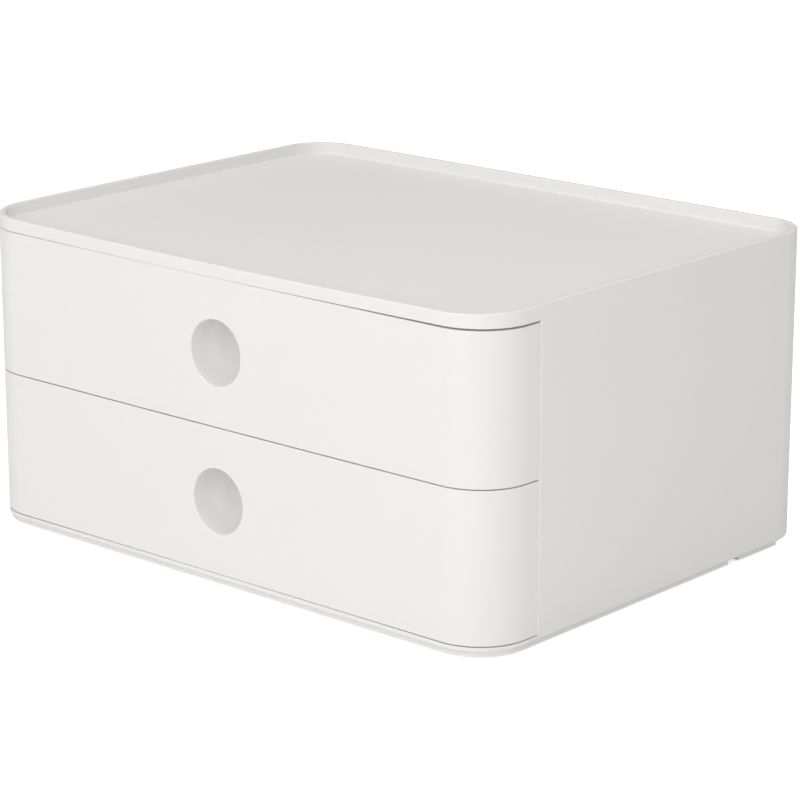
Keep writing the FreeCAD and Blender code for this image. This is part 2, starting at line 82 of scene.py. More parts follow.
# Places and small fixed measures, in metres
CLEAR = 0.0001                  # keeps a piece just inside the solid that it stands for
STEP_WIDTH = 0.0001             # run of the outline in which one section steps to the next
LIP_STEP = 0.0004               # the walls' inner faces to the lip behind the header
SKIRT_STEP = 0.0003             # the same faces to the roof's skirt over the side and rear walls
SILL_GAP = 0.0004               # the sill's top to the lower drawer front
TRAY_SIDE_GAP = 0.0008          # a runner's inner face to the tray's side
DIP_REAR = -0.045               # where the roof's dip has faded out
HUMP_HALF = 0.115               # half the length of the header's and the seams' bows
RIM_HUMP_HALF = 0.15            # half the length of the front rim's bow
GAP_NARROWEST = -0.02           # where the gap over the upper front is narrowest
GAP_LEFT_RUN = 0.11             # from there to where the gap's left end is reached
GAP_RIGHT_RUN = 0.13            # and to where its right end is reached
TRAVEL = 0.12                   # how far a drawer slides out
RIB_PLACES = (-0.096, -0.048, 0.048, 0.096)
PLATE_LIMITS = (0.1262, 0.0937)  # half the width and half the depth of the top tray's floor
PLATE_FADE = 0.0012             # the plate's duller finish fades in over this width
PLATE_LEVEL = 0.119             # between the roof's underside and the top tray's floor


# ---------------- settings
def length(name, description, default):
    """A size in metres with its label."""
    return FloatProperty(name=name, description=description, default=default, unit="LENGTH",
                         subtype="DISTANCE", precision=5, min=0.0)


def colour(name, description, default):
    """A linear colour with its label."""
    return FloatVectorProperty(name=name, description=description, default=default, subtype="COLOR",
                               size=3, min=0.0, max=1.0)


class FileBoxSizes(bpy.types.PropertyGroup):
    """Sizes of the moulded pieces."""

    shell_wall: length("Shell wall", "Thickness of the housing's walls, roof and rim", 0.0024)
    rear_corner: length("Rear corner", "Plan radius of the housing's rear corners", 0.019)
    rim_height: length("Rim height", "Top tray's floor to the top of its raised rim", 0.0048)
    rim_edge: length("Rim edge", "Rounding of the rim's outer top edge", 0.0006)
    rim_inner: length("Rim inner edge", "Rounding of the rim's inner top edge", 0.0004)
    rim_cove: length("Rim cove", "Rounding between the rim and the top tray's floor", 0.0006)
    header_height: length("Header height", "Band of the housing above the upper front", 0.0058)
    header_edge: length("Header edge", "Rounding of the header's and the sill's edges", 0.00025)
    wall_edge: length("Wall edge", "Rounding of the side walls' front edges", 0.0011)
    shell_foot: length("Lower edge", "Rounding of the housing's lower outer edge", 0.0005)
    ring_width: length("Floor ring", "Width of the housing's floor ring", 0.014)
    rim_sag: length("Rim sag", "How far the middle of the front rim dips", 0.0016)
    header_sag: length("Header sag", "How far the middle of the header's lower edge dips", 0.0007)
    sill_crown: length("Sill crown", "How far the sill rises in the middle", 0.00024)
    seam_rise: length("Seam rise", "How far the seam between the fronts lies above the nominal", 0.0003)
    seam_sag: length("Seam sag", "How far the middle of that seam dips", 0.00025)
    gap_left: length("Gap at the left", "Gap over the upper drawer front at its left end", 0.00027)
    gap_middle: length("Gap in the middle", "Gap over the upper drawer front at its narrowest", 0.00002)
    gap_right: length("Gap at the right", "Gap over the upper drawer front at its right end", 0.00072)
    side_gap: length("Side gap", "Gap between a drawer front's rear end and the side wall", 0.00025)
    front_corner: length("Front corner", "Plan radius of the front corners", 0.021)
    front_wall: length("Front wall", "Thickness of a drawer front", 0.0024)
    front_edge: length("Front edge", "Rounding of a drawer front's outer edges", 0.0003)
    cup_radius: length("Cup radius", "Radius of a finger cup", 0.0126)
    cup_depth: length("Cup depth", "Depth of a finger cup behind the front plane", 0.013)
    cup_lip: length("Cup lip", "Rounding where a finger cup meets the front", 0.0005)
    cup_floor: length("Cup floor", "Rounding between a finger cup's wall and floor", 0.006)
    cup_wall: length("Cup wall", "Thickness of a finger cup's wall", 0.0018)
    tray_wall: length("Tray wall", "Thickness of a drawer tray's walls and floor", 0.002)
    tray_corner: length("Tray corner", "Plan radius of a drawer tray's corners", 0.006)
    tray_edge: length("Tray edge", "Rounding of a drawer tray's top and bottom edges", 0.0006)
    tray_cove: length("Tray cove", "Rounding between a drawer tray's walls and floor", 0.003)


class FileBoxFinish(bpy.types.PropertyGroup):
    """Colours of the plastics and the rubber."""

    shell: colour("Shell", "Smooth white plastic of housing and fronts", (0.736, 0.722, 0.712))
    inside: colour("Inside", "Fine satin plastic of trays and base", (0.72, 0.712, 0.70))
    runner: colour("Runner", "Natural low-friction plastic of the runners", (0.62, 0.615, 0.59))
    stop: colour("Stop", "Light grey plastic of the drawer stops", (0.46, 0.475, 0.49))
    rubber: colour("Rubber", "Grey rubber of the feet and buffers", (0.09, 0.09, 0.095))
    floor: colour("Floor", "Pale studio floor", (0.88, 0.88, 0.88))


class FileBoxStudio(bpy.types.PropertyGroup):
    """Camera and light."""

    lens: FloatProperty(name="Lens", description="Focal length in millimetres", default=137.244, min=10.0)
    camera_place: FloatVectorProperty(name="Camera", description="Where the camera stands", size=3,
                                      default=(0.76369, -0.85886, 0.37812), subtype="TRANSLATION",
                                      unit="LENGTH")
    camera_target: FloatVectorProperty(name="Target", description="Middle of the view", size=3,
                                       default=(0.00420, -0.00032, 0.05255), subtype="TRANSLATION",
                                       unit="LENGTH")
    sky: FloatProperty(name="Sky", description="Brightness of the soft light from all sides",
                       default=0.315, min=0.0)
    right_power: FloatProperty(name="Right light", description="Power of the soft light at the right",
                               default=12.0, min=0.0, unit="POWER")
    left_power: FloatProperty(name="Left light", description="Power of the soft light at the left",
                              default=7.4, min=0.0, unit="POWER")
    rear_power: FloatProperty(name="Rear light", description="Power of the soft light behind",
                              default=3.9, min=0.0, unit="POWER")
    top_power: FloatProperty(name="Top light", description="Power of the soft light overhead",
                             default=10.7, min=0.0, unit="POWER")
    floor_glow: FloatProperty(name="Floor glow", description="How much brighter the floor looks",
                              default=0.65, min=0.0)


# ---------------- surfaces worked out on grids
def grid_faces(rows, columns, wrap_rows=False, wrap_columns=False):
    """Quads between neighbouring points of a grid: each joins (r, c), (r, c+1), (r+1, c+1), (r+1, c).
    A wrapped direction also joins its last line to its first."""
    row, column = np.meshgrid(np.arange(rows if wrap_rows else rows - 1),
                              np.arange(columns if wrap_columns else columns - 1), indexing="ij")
    below, beside = (row + 1) % rows, (column + 1) % columns
    return np.stack([row * columns + column, row * columns + beside,
                     below * columns + beside, below * columns + column], -1).reshape(-1, 4)


def quarter(start, end, centre, steps):
    """Quarter of a circle in the profile plane: the centre plus cosine times the start arm plus sine
    times the end arm, for angles from 0 to 90 degrees."""
    start, end, centre = (np.asarray(p, float) for p in (start, end, centre))
    turn = np.linspace(0, pi / 2, steps + 1)[:, None]
    return centre + np.cos(turn) * (start - centre) + np.sin(turn) * (end - centre)


def lathe(profile, middle, axis, steps=RING):
    """Surface of revolution: each (radius, height) of the profile becomes a circle of that radius at that
    height along the axis (1 is Y, 2 is Z) through the middle point."""
    angle = np.linspace(0, 2 * pi, steps, endpoint=False)
    radius, height = np.asarray(profile, float).T[:, :, None]
    across = [i for i in range(3) if i != axis]
    points = np.zeros((len(profile), steps, 3))
    points[..., across[0]] = middle[across[0]] + radius * np.cos(angle)
    points[..., across[1]] = middle[across[1]] + radius * np.sin(angle)
    points[..., axis] = height
    return points, grid_faces(len(profile), steps, wrap_columns=True)


def rounded_outline(low, high, radius, arc_steps=12, run_steps=10):
    """Closed rounded rectangle seen from above. Each corner is a quarter circle: its centre plus the
    radius times the outward direction; straight runs join the quarters. Gives points and directions."""
    corners = np.array([high, [low[0], high[1]], low, [high[0], low[1]]])
    centres = corners - radius * np.array([[1, 1], [-1, 1], [-1, -1], [1, -1]])
    points, outward = [], []
    for turn in range(4):
        angle = pi / 2 * turn + np.linspace(0, pi / 2, arc_steps + 1)
        direction = np.stack([np.cos(angle), np.sin(angle)], -1)
        arc = centres[turn] + radius * direction
        following = centres[(turn + 1) % 4] + radius * direction[-1]
        share = np.linspace(0, 1, run_steps + 1)[1:-1, None]
        points += [arc, arc[-1] + (following - arc[-1]) * share]
        outward += [direction, np.repeat(direction[-1:], run_steps - 1, 0)]
    return np.concatenate(points), np.concatenate(outward)


def housing_outline(half_width, front, back, corner, rear_corner, wall_front):
    """Closed plan outline of the housing, anticlockwise from the start of the right rear corner: quarter
    circles on the corners, straight runs between them, and a close pair of points where each side wall
    ends. Gives points, outward directions, and the place on the box's middle line where each point's
    flats close: in even shares of the line along a straight run, and near its end round a corner."""
    turn = np.linspace(0, pi / 2, ARC_POINTS)
    arc = np.stack([np.cos(turn), np.sin(turn)], -1)
    rear_arc = (half_width - rear_corner, back - rear_corner) + rear_corner * arc
    front_arc = (half_width - corner, front + corner) + corner * arc * (1, -1)
    run = np.linspace(1, -1, 41)[1:-1]
    rear_run = np.stack([run * (half_width - rear_corner), np.full_like(run, back)], -1)
    front_run = np.stack([-run * (half_width - corner), np.full_like(run, front)], -1)
    side_y = np.append(np.linspace(back - rear_corner, wall_front + 3 * STEP_WIDTH, 12)[1:],
                       (wall_front, wall_front - STEP_WIDTH))
    side = np.stack([np.full_like(side_y, half_width), side_y], -1)
    mirror = (-1, 1)
    points = np.concatenate([rear_arc, rear_run, rear_arc[::-1] * mirror, side * mirror,
                             front_arc * mirror, front_run, front_arc[::-1], side[::-1]])
    outward = np.concatenate([arc, np.tile([0, 1], (len(run), 1)), arc[::-1] * mirror,
                              np.tile([-1, 0], (len(side), 1)), -arc, np.tile([0, -1], (len(run), 1)),
                              arc[::-1] * (1, -1), np.tile([1, 0], (len(side), 1))])
    run_share = 0.94
    bend, flank = np.linspace(1, run_share, ARC_POINTS), np.ones(len(side))
    share = np.concatenate([bend, run_share * run, -bend[::-1], -flank,
                            -bend, -run_share * run, bend[::-1], flank])
    close = np.zeros_like(points)
    close[:, 0] = share * (half_width - (back - front) / 2)
    return points, outward, close


def carried(outline, outward, profile):
    """Profile carried along a path: each (inset, height) of the profile is set in from each path point
    against its outward direction, at that height. The profile may differ from point to point."""
    profile = np.asarray(profile, float)
    profile = np.broadcast_to(profile, (len(outline),) + profile.shape[-2:])
    flat = outline[:, None] - profile[..., :1] * outward[:, None]
    return np.concatenate([flat, profile[..., 1:]], -1)


def closing_sheets(walls, line, steps):
    """The two flats that close a carried profile at its first and its last height: each point moves in
    even shares from its own place to its place on the line."""
    share = np.linspace(0, 1, steps + 1)[None, :, None]
    for ring in (walls[:, 0], walls[:, -1]):
        flat = ring[:, None, :2] * (1 - share) + line[:, None] * share
        sheet = np.concatenate([flat, np.full(flat.shape[:2] + (1,), ring[0, 2])], -1)
        yield sheet, grid_faces(*sheet.shape[:2], wrap_rows=True)


def rounded_block(low, high, radius, steps=3):
    """Block with all edges rounded. On each of its six sides a grid of angles from -45 to 45 degrees
    gives directions of a unit sphere; each point is the nearest inner corner plus the radius times its
    direction."""
    low, high = np.asarray(low, float), np.asarray(high, float)
    core = np.stack([low + radius, high - radius])
    angle = np.concatenate([np.linspace(-pi / 4, 0, steps + 1), np.linspace(0, pi / 4, steps + 1)])
    side = np.repeat([0, 1], steps + 1)
    first, second = np.meshgrid(np.arange(len(angle)), np.arange(len(angle)), indexing="ij")
    parts = []
    for axis in range(3):
        u, v = (axis + 1) % 3, (axis + 2) % 3
        for end, sign in ((0, -1.0), (1, 1.0)):
            direction = np.zeros(first.shape + (3,))
            direction[..., axis] = sign
            direction[..., u] = np.tan(angle[first])
            direction[..., v] = np.tan(angle[second])
            direction /= np.linalg.norm(direction, axis=-1, keepdims=True)
            inner = np.zeros_like(direction)
            inner[..., axis] = core[end, axis]
            inner[..., u] = core[side[first], u]
            inner[..., v] = core[side[second], v]
            parts.append((inner + radius * direction, grid_faces(len(angle), len(angle))))
    return parts


def make_piece(name, shells, body, slot, replaced=()):
    """Joins the parts of each shell into one closed mesh with outward faces, puts the shells together,
    gives the piece its slot's finish and parents it to its body's empty."""
    mesh = bpy.data.meshes.new(name)
    whole = bmesh.new()
    for parts in shells:
        start = np.cumsum([0] + [points.reshape(-1, 3).shape[0] for points, _ in parts])
        points = np.concatenate([points.reshape(-1, 3) for points, _ in parts])
        faces = [face for (_, quads), first in zip(parts, start) for face in (quads + first).tolist()]
        mesh.clear_geometry()
        mesh.from_pydata(points.tolist(), [], faces)
        shape = bmesh.new()
        shape.from_mesh(mesh)
        bmesh.ops.remove_doubles(shape, verts=shape.verts, dist=MERGE_DISTANCE)
        bmesh.ops.dissolve_degenerate(shape, edges=shape.edges, dist=MERGE_DISTANCE)
        bmesh.ops.recalc_face_normals(shape, faces=shape.faces)
        shape.to_mesh(mesh)
        shape.free()
        whole.from_mesh(mesh)
    mesh.clear_geometry()
    whole.to_mesh(mesh)
    whole.free()
    mesh.shade_smooth()
    mesh.set_sharp_from_angle(angle=SHARP_ANGLE)
    mesh.materials.append(finish_of(slot))
    piece = bpy.data.objects.new(name, mesh)
    bpy.context.scene.collection.objects.link(piece)
    weighted = piece.modifiers.new("even flats", "WEIGHTED_NORMAL")
    weighted.keep_sharp = True
    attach(piece, body)
    if replaced:
        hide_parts(*replaced)
    return piece


# ---------------- housing
def hump(x, half=HUMP_HALF):
    """Bow of a long thin edge: 1 in the middle, falling as the distance's square to 0 at the ends."""
    return np.clip(1 - (x / half) ** 2, 0, None)


def dipped(points, header, top, sizes):
    """Lets the roof's front hang a little. The dip goes in even shares of the height from the header's
    own hump to the rim's longer one, and fades behind the front as 3 t squared minus 2 t cubed, where t
    is the share of the way from the dip's rear end to the front."""
    points = points.copy()
    share = (points[..., 2] - header) / (top - header)
    dip = (sizes.header_sag * hump(points[..., 0]) * (1 - share)
           + sizes.rim_sag * hump(points[..., 0], RIM_HUMP_HALF) * share)
    fade = np.clip((DIP_REAR - points[..., 1]) / (DIP_REAR - CAD_BOX[0][1]), 0, 1)
    points[..., 2] -= dip * fade ** 2 * (3 - 2 * fade)
    return points


def roof_section(header, top, lip, edge, sizes):
    """Section of the roof as (inset, height): up the lip behind the header, out to its lower edge, up the
    outer face, over the rounded rim and down its inner face into the cove."""
    wall, rim, inner, cove = sizes.shell_wall, sizes.rim_edge, sizes.rim_inner, sizes.rim_cove
    floor = top - sizes.rim_height
    return np.concatenate([
        [(lip, floor - wall), (lip, header)],
        quarter((edge, header), (0, header + edge), (edge, header + edge), 4),
        [(0, (header + top) / 2)],
        quarter((0, top - rim), (rim, top), (rim, top - rim), 10),
        quarter((wall - inner, top), (wall, top - inner), (wall - inner, top - inner), 6),
        quarter((wall, floor + cove), (wall + cove, floor), (wall + cove, floor + cove), 10)])


def housing_shells(low, high, header, sill, wall_front, sizes):
    """The housing as three shells, each a section carried along the outline: roof with rim and header,
    walls, and floor ring. The header's and the sill's edges are rounded only ahead of the side walls."""
    path, outward, close = housing_outline(high[0], low[1], high[1], sizes.front_corner,
                                           sizes.rear_corner, wall_front)
    open_side = (path[:, 1] < wall_front - STEP_WIDTH / 2)[:, None, None]
    wall, edge, ring = sizes.shell_wall, sizes.header_edge, sizes.ring_width
    ahead = roof_section(header, high[2], wall + LIP_STEP, edge, sizes)
    beside = roof_section(header, high[2], wall - SKIRT_STEP, 0, sizes)
    roof = carried(path, outward, np.where(open_side, ahead, beside))
    parts = [(roof, grid_faces(*roof.shape[:2], wrap_rows=True)), *closing_sheets(roof, close, 16)]
    shells = [[(dipped(points, header, high[2], sizes), faces) for points, faces in parts]]

    turn = np.linspace(0, pi / 2, 8)[:-1]
    end_y = wall_front + sizes.wall_edge * (1 - np.cos(turn))
    end = np.stack([np.full_like(end_y, high[0]), end_y], -1)
    order = np.roll(np.arange(len(path)), len(path) // 2)
    order = order[path[order, 1] > wall_front + 2 * sizes.wall_edge]
    wall_path = np.concatenate([end, path[order], end[::-1] * (-1, 1)])
    wall_out = np.concatenate([np.tile([1, 0], (len(end), 1)), outward[order],
                               np.tile([-1, 0], (len(end), 1))])
    draw = sizes.wall_edge * (1 - np.sin(turn))
    draw = np.concatenate([draw, np.zeros(len(order)), draw[::-1]])
    heights = np.linspace(sill, header, 5)
    draw, heights = np.meshgrid(draw, heights, indexing="ij")
    outer = np.stack([draw, heights], -1)
    inner = np.stack([np.full_like(heights, wall), heights[:, ::-1]], -1)
    walls = carried(wall_path, wall_out, np.concatenate([outer, inner], 1))
    rows, columns = walls.shape[:2]
    caps = np.arange(columns)[None] + np.array([[0], [(rows - 1) * columns]])
    shells.append([(walls, grid_faces(rows, columns, wrap_columns=True)), (walls, caps)])

    foot, bottom = sizes.shell_foot, low[2]
    lower_edge = quarter((foot, bottom), (0, bottom + foot), (foot, bottom + foot), 6)
    sections = [np.concatenate([[(ring, bottom)], lower_edge,
                                quarter((0, sill - size), (size, sill), (size, sill - size), 4),
                                [(ring, sill)]]) for size in (edge, 0)]
    floor = carried(path, outward, np.where(open_side, *sections))
    raised = (floor[..., 1] < 0) & (floor[..., 2] > bottom + foot)
    floor[..., 2] += raised * sizes.sill_crown * hump(floor[..., 0])
    shells.append([(floor, grid_faces(*floor.shape[:2], wrap_rows=True, wrap_columns=True))])
    return shells


def runner_seat_parts(half_width, sizes):
    """A rib above and a rib below each runner, on the inside of the side walls and rooted in them."""
    inner = half_width - sizes.shell_wall
    thickness, reach, root, edge = 0.0016, 0.0014, 0.001, 0.0002
    parts = []
    for level in LEVELS:
        low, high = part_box(f"{level}_right_runner")
        for bottom in (low[2] - CLEAR - thickness, high[2] + CLEAR):
            for side in (-1, 1):
                x = sorted((side * (inner - reach), side * (inner + root)))
                parts += rounded_block((x[0], low[1], bottom), (x[1], high[1], bottom + thickness), edge)
    return parts


# ---------------- drawer fronts
def front_section(low, high, sizes, levels):
    """Closed section of a drawer front as (inset, height): outer face with its height lines, rounded top
    edge, inner face back down, rounded bottom edge."""
    edge, wall = sizes.front_edge, sizes.front_wall
    outer = np.stack([np.zeros_like(levels), levels], -1)
    top = quarter((0, high - edge), (edge, high), (edge, high - edge), EDGE_STEPS)[1:]
    inner = np.stack([np.full_like(levels, wall), levels[::-1]], -1)
    bottom = quarter((edge, low), (0, low + edge), (edge, low + edge), EDGE_STEPS)[:-1]
    return np.concatenate([outer, top, [(wall, high)], inner, [(wall, low)], bottom])


def front_path(half_width, front, back, sizes, lines):
    """U-shaped path of a drawer front seen from above: rounded rear end, straight side, quarter circle,
    straight front, and the same mirrored. Gives points, outward directions, for each point the cosine
    that draws the outer skin in at the rounded rear ends, and how many points lie before the cup's."""
    corner, edge = sizes.front_corner, sizes.front_edge
    turn = np.linspace(0, pi / 2, 33)
    arc = np.stack([np.cos(turn), -np.sin(turn)], -1)
    centre = np.array([half_width - corner, front + corner])
    end = np.linspace(pi / 2, 0, 7)
    y_end = back - edge + edge * np.sin(end)
    y_run = np.linspace(back - edge, front + corner, 4)[1:-1]
    side_y = np.concatenate([y_end, y_run])
    side = np.stack([np.full_like(side_y, half_width), side_y], -1)
    run = np.linspace(half_width - corner, lines[-1], 14)[1:-1]
    half = np.concatenate([side, centre + corner * arc, np.stack([run, np.full_like(run, front)], -1)])
    out = np.concatenate([np.tile([1.0, 0.0], (len(side), 1)), arc, np.tile([0.0, -1.0], (len(run), 1))])
    draw = np.concatenate([np.cos(end), np.ones(len(half) - len(end))])
    middle = np.stack([lines[::-1], np.full_like(lines, front)], -1)
    mirror = np.array([-1.0, 1.0])
    path = np.concatenate([half, middle, half[::-1] * mirror])
    outward = np.concatenate([out, np.tile([0.0, -1.0], (len(middle), 1)), out[::-1] * mirror])
    return path, outward, np.concatenate([draw, np.ones(len(middle)), draw[::-1]]), len(half)


def square_ring(radius, half, y, middle, steps=8):
    """Flat patch from a circle to the square round it: along each of the ring's angles a point moves in
    even shares from the circle to where that angle meets the square."""
    angle = np.linspace(0, 2 * pi, RING, endpoint=False)
    direction = np.stack([np.cos(angle), np.sin(angle)], -1)
    square = half * direction / np.abs(direction).max(-1, keepdims=True)
    share = np.linspace(0, 1, steps + 1)[:, None, None]
    flat = radius * direction * (1 - share) + square * share
    points = np.stack([flat[..., 0], np.full(flat.shape[:2], y), flat[..., 1] + middle], -1)
    return points, grid_faces(steps + 1, RING, wrap_columns=True)


def front_parts(low, high, sizes):
    """Drawer front: its section carried along the U-shaped path, with a square of both faces swapped for
    patches that run out to the finger cup's lip and to the cup's back."""
    half_width, front = high[0], low[1]
    middle = (low[2] + high[2]) / 2
    half = (high[2] - low[2]) / 2 - sizes.front_edge
    lines = half * np.tan(np.linspace(-pi / 4, pi / 4, RING // 4 + 1))
    section = front_section(low[2], high[2], sizes, middle + lines)
    path, outward, draw, first = front_path(half_width, front, high[1], sizes, lines)
    edge = sizes.front_edge
    points = np.repeat(carried(path, outward, [(0.0, 0.0)]), len(section), 1)
    inset = np.where(section[:, 0] < edge, edge - (edge - section[:, 0]) * draw[:, None], section[:, 0])
    points[..., :2] -= inset[..., None] * outward[:, None]
    points[..., 2] = section[:, 1]
    rows, columns = points.shape[:2]
    faces = grid_faces(rows, columns, wrap_columns=True)
    row, column = faces[:, 0] // columns, faces[:, 0] % columns
    count = len(lines) - 1
    inner_start = len(lines) + EDGE_STEPS + 1
    in_square = (row >= first) & (row < first + count)
    on_outer = column < count
    on_inner = (column >= inner_start) & (column < inner_start + count)
    faces = faces[~(in_square & (on_outer | on_inner))]
    caps = np.arange(columns)[None] + np.array([[0], [(rows - 1) * columns]])

    cup, lip, depth, floor = sizes.cup_radius, sizes.cup_lip, sizes.cup_depth, sizes.cup_floor
    bowl = np.concatenate([
        quarter((cup + lip, front), (cup, front + lip), (cup + lip, front + lip), 6),
        quarter((cup, front + depth - floor), (cup - floor, front + depth),
                (cup - floor, front + depth - floor), 12),
        [((cup - floor) / 2, front + depth), (0, front + depth)]])
    shell, wall = cup + sizes.cup_wall, front + sizes.front_wall
    bend, rear = floor + sizes.cup_wall, front + depth + sizes.cup_wall
    back_bowl = np.concatenate([
        [(shell, wall)],
        quarter((shell, rear - bend), (shell - bend, rear), (shell - bend, rear - bend), 12),
        [((shell - bend) / 2, rear), (0, rear)]])
    centre = (0.0, 0.0, middle)
    return [(points, faces), (points, caps), square_ring(cup + lip, half, front, middle),
            square_ring(shell, half, wall, middle), lathe(bowl, centre, 1), lathe(back_bowl, centre, 1)]


def header_gap(x, sizes):
    """Gap over the upper drawer front: least a little left of the middle, opening with the power 1.5 of
    the distance towards the left end and with its square towards the right end."""
    left = np.clip((GAP_NARROWEST - x) / GAP_LEFT_RUN, 0, 1) ** 1.5
    right = np.clip((x - GAP_NARROWEST) / GAP_RIGHT_RUN, 0, 1) ** 2
    return (sizes.gap_middle + (sizes.gap_left - sizes.gap_middle) * left
            + (sizes.gap_right - sizes.gap_middle) * right)


def bowed(parts, level, low, high, header, sizes):
    """Lets a drawer front's long edges bow: the shift of its top edge times the share of the height, plus
    the shift of its bottom edge times the rest."""
    bent = []
    for points, faces in parts:
        points = points.copy()
        x = points[..., 0]
        share = np.clip((points[..., 2] - low[2]) / (high[2] - low[2]), 0, 1)
        seam = sizes.seam_rise - sizes.seam_sag * hump(x)
        if level == "upper":
            top = header - sizes.header_sag * hump(x) - header_gap(x, sizes) - high[2]
            points[..., 2] += top * share + seam * (1 - share)
        else:
            points[..., 2] += seam * share
        bent.append((points, faces))
    return bent


def rib_parts(middle, front, tray_front, sizes):
    """Four ribs from the front's inner face to the tray, each with a catch that snaps through the tray
    and a hook that stands up behind the tray's wall."""
    half_rib, half_height, edge = 0.001, 0.02, 0.0003
    half_catch, half_tongue, root = 0.004, 0.0009, 0.0024
    reach, hook_front, hook_top = 0.0044, 0.0022, 0.0023
    parts = []
    for x in RIB_PLACES:
        parts += rounded_block((x - half_rib, front + sizes.front_wall / 2, middle - half_height),
                               (x + half_rib, tray_front - CLEAR, middle + half_height), edge)
        parts += rounded_block((x - half_catch, tray_front - root, middle - half_tongue),
                               (x + half_catch, tray_front + reach, middle + half_tongue), edge)
        parts += rounded_block((x - half_catch, tray_front + hook_front, middle),
                               (x + half_catch, tray_front + reach, middle + hook_top), edge)
    return parts


# ---------------- drawer trays
def tray_parts(low, high, half_width, sizes):
    """Drawer tray: one section, up the outside, over the rounded rim, down the inside and round the cove,
    carried along a closed rounded rectangle. Floor and underside close on the tray's middle line."""
    wall, edge, cove = sizes.tray_wall, sizes.tray_edge, sizes.tray_cove
    outline, outward = rounded_outline(np.array([-half_width, low[1]]), np.array([half_width, high[1]]),
                                       sizes.tray_corner)
    floor = low[2] + wall
    section = np.concatenate([
        [(wall + cove, low[2])],
        quarter((edge, low[2]), (0, low[2] + edge), (edge, low[2] + edge), 4),
        quarter((0, high[2] - edge), (edge, high[2]), (edge, high[2] - edge), 5),
        quarter((wall - edge, high[2]), (wall, high[2] - edge), (wall - edge, high[2] - edge), 5),
        quarter((wall, floor + cove), (wall + cove, floor), (wall + cove, floor + cove), 8)])
    walls = carried(outline, outward, section)
    depth = (high[1] - low[1]) / 2
    line = np.stack([np.clip(outline[:, 0], depth - half_width, half_width - depth),
                     np.full(len(outline), low[1] + depth)], -1)
    return [(walls, grid_faces(*walls.shape[:2], wrap_rows=True)), *closing_sheets(walls, line, 12)]


def running_gear_parts(level, low, high, half_width, sizes):
    """Wings beside the tray's front wall, and on each side the flange that runs in the runner's channel,
    with the lug that meets the stop at the end of the drawer's travel."""
    runner_low, runner_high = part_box(f"{level}_right_runner")
    stop_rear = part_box(f"{level}_right_stop")[1][1]
    root, channel_wall, channel_floor, stop_gap, edge = 0.001, 0.0024, 0.0023, 0.0003, 0.0005
    thickness, mouth, lug_length, lug_height = 0.003, 0.002, 0.008, 0.0056
    wing_root, wing_gap = 0.0065, 0.0004
    flange, lug_front = runner_low[2] + channel_floor, stop_rear + TRAVEL + stop_gap
    side = (half_width - root, runner_high[0] - channel_wall)
    blocks = (((half_width - wing_root, high[0] - wing_gap),
               (low[1] + CLEAR, low[1] + sizes.tray_wall - CLEAR), (low[2] + CLEAR, high[2] - CLEAR)),
              (side, (runner_low[1] + mouth, runner_high[1]), (flange, flange + thickness)),
              (side, (lug_front, lug_front + lug_length), (flange, flange + lug_height)))
    parts = []
    for sign in (-1, 1):
        for x, y, z in blocks:
            across = sorted((sign * x[0], sign * x[1]))
            parts += rounded_block((across[0], y[0], z[0]), (across[1], y[1], z[1]), edge)
    return parts


def pin_mark_parts(low, high, sizes):
    """Six faint round marks of the mould's ejector pins on the tray's floor: a turned section of a flat
    disc with a low ring round it."""
    pitch, inset, root, lift = 0.085, 0.045, -0.0002, 0.00002
    section = [(0, 0), (0.0036, 0), (0.0037, 0.00005), (0.0039, 0.00009), (0.0041, 0.00005),
               (0.0042, root), (0, root)]
    profile = np.array(section) + np.array([0, low[2] + sizes.tray_wall + lift])
    return [lathe(profile, (x, y, 0), 2, 48)
            for x in (-pitch, 0.0, pitch) for y in (low[1] + inset, high[1] - inset)]


# ---------------- feet, buffers and base
def foot_profile(low, high):
    """Turned section of a foot as (radius, height): flat top in its socket, straight side, rounded lower
    edge and an underside with two round grooves."""
    radius, base, top = (high[0] - low[0]) / 2, low[2], high[2] - CLEAR / 2
    bend, bevel, slope, width, depth = 0.0006, 0.0002, 0.00015, 0.00075, 0.0003
    edge = quarter((radius, base + bend), (radius - bend, base), (radius - bend, base + bend), 5)
    grooves = []
    for rim in (0.0050, 0.0029):
        grooves += [(rim, base), (rim - slope, base + depth), (rim - width + slope, base + depth),
                    (rim - width, base)]
    return [(0, top), (radius - bevel, top), (radius, top - bevel), *edge, *grooves, (0, base)]


def buffer_profile(low, high):
    """Turned section of a buffer along the depth: crowned face, straight side and the peg behind."""
    pad, rise, bevel, lift, peg = 0.003, 0.0009, 0.0002, 0.00002, 0.0017
    radius, face, end = (high[0] - low[0]) / 2, low[1], high[1] - CLEAR
    wall = face + pad - lift
    crown = quarter((0, face), (radius, face + rise), (0, face + rise), 8)
    return [*crown, (radius, wall + lift - bevel), (radius - bevel, wall), (peg, wall), (peg, end),
            (0, end)]


def base_rib_parts(low, high):
    """Stiffening ribs under the base plate, inside the plinth: five along the depth and three across."""
    foot_gap, height, inset, half, edge = 0.0004, 0.0018, 0.0195, 0.0007, 0.0003
    bottom, top = low[2] + foot_gap, low[2] + foot_gap + height
    parts = []
    for x in (-0.07, -0.035, 0.0, 0.035, 0.07):
        parts += rounded_block((x - half, low[1] + inset, bottom), (x + half, high[1] - inset, top), edge)
    for y in (-0.04, 0.0, 0.04):
        parts += rounded_block((low[0] + inset, y - half, bottom), (high[0] - inset, y + half, top), edge)
    return parts


# ---------------- node helpers
def add_node(tree, kind, settings=None, **inputs):
    """Adds a shader node, sets its options and its unlinked inputs."""
    node = tree.nodes.new(kind)
    for key, value in (settings or {}).items():
        setattr(node, key, value)
    for key, value in inputs.items():
        node.inputs[key.replace("_", " ")].default_value = value
    return node


